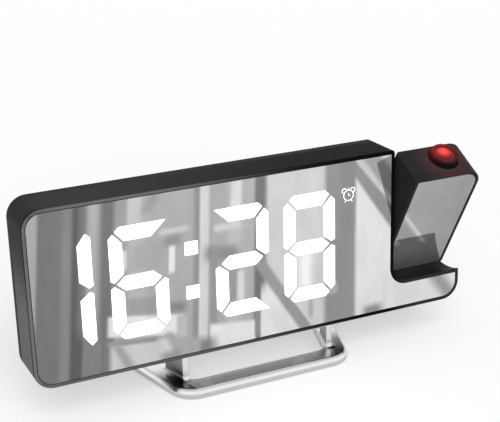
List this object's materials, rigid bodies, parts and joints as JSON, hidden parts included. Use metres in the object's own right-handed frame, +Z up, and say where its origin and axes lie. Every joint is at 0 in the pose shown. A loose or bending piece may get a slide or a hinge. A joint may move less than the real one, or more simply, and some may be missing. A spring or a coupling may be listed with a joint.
{
  "type": "projection alarm clock",
  "caption": "Mirror-faced digital alarm clock with a tilting time projector at one end, on a flat ring-shaped metal stand.",
  "frame": {"origin": "on the table, under the middle of the whole clock's bounding box", "axes": "+X to the right as seen from the front, +Y to the back, +Z up"},
  "size_m": [0.192, 0.0576, 0.0888],
  "materials": {
    "housing": "gloss black",
    "back": "fine satin texture",
    "mirror": "tinted mirror",
    "lit": "white, lit from behind",
    "diffuser": "translucent white",
    "board": "green solder mask",
    "led": "clear resin on a white base",
    "lamp": "red resin",
    "brass": "machined",
    "steel": "bright",
    "component": "moulded",
    "keys": "satin",
    "bush": "self-lubricating plastic",
    "focus": "satin black with a fine knurl",
    "lens": "polished",
    "stand": "satin silver",
    "pads": "soft"
  },
  "bodies": {
    "clock": {"main_housing": "housing", "rear_cover": "back", "battery_door": "back", "mirror_panel": "mirror", "lit_segments": "lit", "alarm_symbol": "lit", "segment_diffusers": "diffuser", "reflector_tray": "diffuser", "display_board": "board", "main_board": "board", "segment_leds": "led", "board_standoffs": "brass", "housing_screws": "steel", "board_screws": "steel", "battery_door_screw": "steel", "stand_screws": "steel", "spring_washer": "steel", "power_socket": "steel", "crystal": "steel", "coin_cell": "steel", "board_header": "component", "clock_chip": "component", "tact_switches": "component", "buzzer": "component", "cell_holder": "component", "hinge_bush": "bush", "stand": "stand", "foot_pads": "pads"},
    "projector": {"arm_shell": "housing", "arm_cover": "back", "arm_screws": "steel", "arm_mirror": "mirror", "lens_barrel": "component", "optics_holder": "component", "condenser_lens": "lens", "time_slide": "lens", "lamp_board": "board", "projection_lamp": "lamp", "cooling_block": "steel", "hinge_shaft": "steel", "retaining_clip": "steel"},
    "focus": {"focus_ring": "focus", "projection_lens": "lens"},
    "key_set": {"key_set": "keys"},
    "key_up": {"key_up": "keys"},
    "key_down": {"key_down": "keys"},
    "key_alarm": {"key_alarm": "keys"},
    "key_snooze": {"key_snooze": "keys"},
    "key_light": {"key_light": "keys"}
  },
  "joints": [
    {"name": "projector_tilt", "type": "hinge", "parent": "clock", "child": "projector", "pos_m": [0.0626, -0.00494, 0.05325], "axis": [1, 0, 0], "range_deg": [-119, 60]},
    {"name": "focus_turn", "type": "hinge", "parent": "projector", "child": "focus", "pos_m": [0.0818, -0.01985, 0.08391], "axis": [0, -0.4399, 0.898], "range_deg": [-120, 120]},
    {"name": "key_set_press", "type": "slide", "parent": "clock", "child": "key_set", "axis": [0, -0.9982, 0.0593], "range_m": [0, 0.0005], "stiffness_N_per_m": 300, "springref_m": -0.001},
    {"name": "key_up_press", "type": "slide", "parent": "clock", "child": "key_up", "axis": [0, -0.9982, 0.0593], "range_m": [0, 0.0005], "stiffness_N_per_m": 300, "springref_m": -0.001},
    {"name": "key_down_press", "type": "slide", "parent": "clock", "child": "key_down", "axis": [0, -0.9982, 0.0593], "range_m": [0, 0.0005], "stiffness_N_per_m": 300, "springref_m": -0.001},
    {"name": "key_alarm_press", "type": "slide", "parent": "clock", "child": "key_alarm", "axis": [0, -0.9982, 0.0593], "range_m": [0, 0.0005], "stiffness_N_per_m": 300, "springref_m": -0.001},
    {"name": "key_snooze_press", "type": "slide", "parent": "clock", "child": "key_snooze", "axis": [0, -0.9982, 0.0593], "range_m": [0, 0.0005], "stiffness_N_per_m": 300, "springref_m": -0.001},
    {"name": "key_light_press", "type": "slide", "parent": "clock", "child": "key_light", "axis": [0, -0.9982, 0.0593], "range_m": [0, 0.0005], "stiffness_N_per_m": 300, "springref_m": -0.001}
  ]
}
